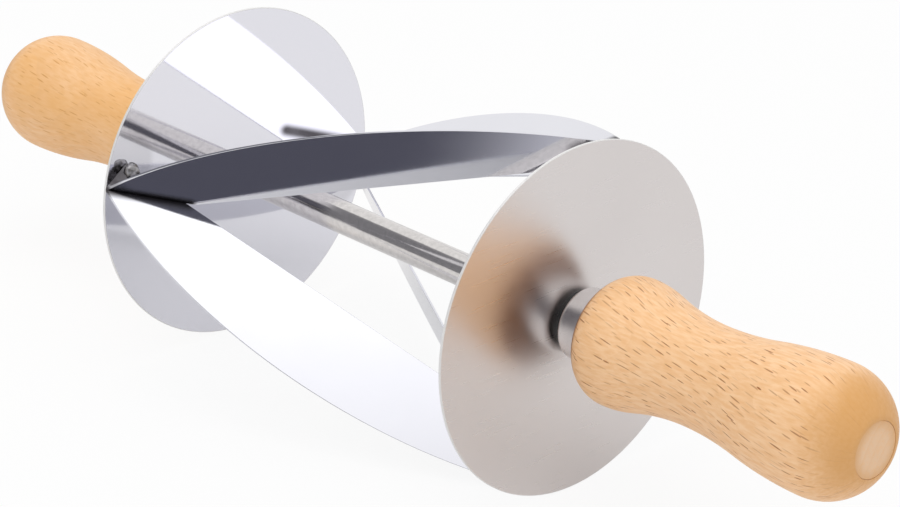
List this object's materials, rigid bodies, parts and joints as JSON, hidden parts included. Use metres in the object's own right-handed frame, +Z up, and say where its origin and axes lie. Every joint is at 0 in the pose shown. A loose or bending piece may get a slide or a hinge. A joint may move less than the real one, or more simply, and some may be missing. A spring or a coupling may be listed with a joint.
{
  "type": "croissant cutter roller",
  "caption": "Hand roller that cuts rolled-out dough into triangles: slanting blades welded between end discs on a shaft, with a turned wooden handle spinning freely at each end.",
  "frame": {"origin": "middle of the roller, on the shaft's axis, half way between the two discs", "axes": "+X along the shaft from the left handle to the right handle, +Z up, +Y away from the person who looks at the front"},
  "size_m": [0.2948, 0.085, 0.085],
  "materials": {
    "disc_steel": "stainless sheet, fine brushed outside, polished inside",
    "blade_steel": "stainless sheet, mirror polished",
    "shaft_steel": "polished round bar",
    "ferrule_steel": "turned steel, satin",
    "weld_steel": "as-welded bead",
    "screw_steel": "zinc plated",
    "nylon": "black moulded nylon",
    "beech": "clear lacquered beech with short dark flecks",
    "end_grain": "clear lacquered beech, end grain"
  },
  "bodies": {
    "roller": {"left_disc": "disc_steel", "right_disc": "disc_steel", "shaft": "shaft_steel", "top_blade": "blade_steel", "bottom_blade": "blade_steel", "front_blade": "blade_steel", "back_blade": "blade_steel", "weld_beads": "weld_steel", "left_thrust_washer": "nylon", "right_thrust_washer": "nylon", "left_washer": "screw_steel", "right_washer": "screw_steel", "left_screw": "screw_steel", "right_screw": "screw_steel"},
    "left_grip_body": {"left_handle": "beech", "left_ferrule": "ferrule_steel", "left_sleeve": "nylon", "left_plug": "end_grain"},
    "right_grip_body": {"right_handle": "beech", "right_ferrule": "ferrule_steel", "right_sleeve": "nylon", "right_plug": "end_grain"}
  },
  "joints": [
    {"name": "left_handle_spin", "type": "hinge", "parent": "roller", "child": "left_grip_body", "pos_m": [-0.1, 0, 0], "axis": [1, 0, 0], "continuous": true},
    {"name": "right_handle_spin", "type": "hinge", "parent": "roller", "child": "right_grip_body", "pos_m": [0.1, 0, 0], "axis": [1, 0, 0], "continuous": true}
  ]
}
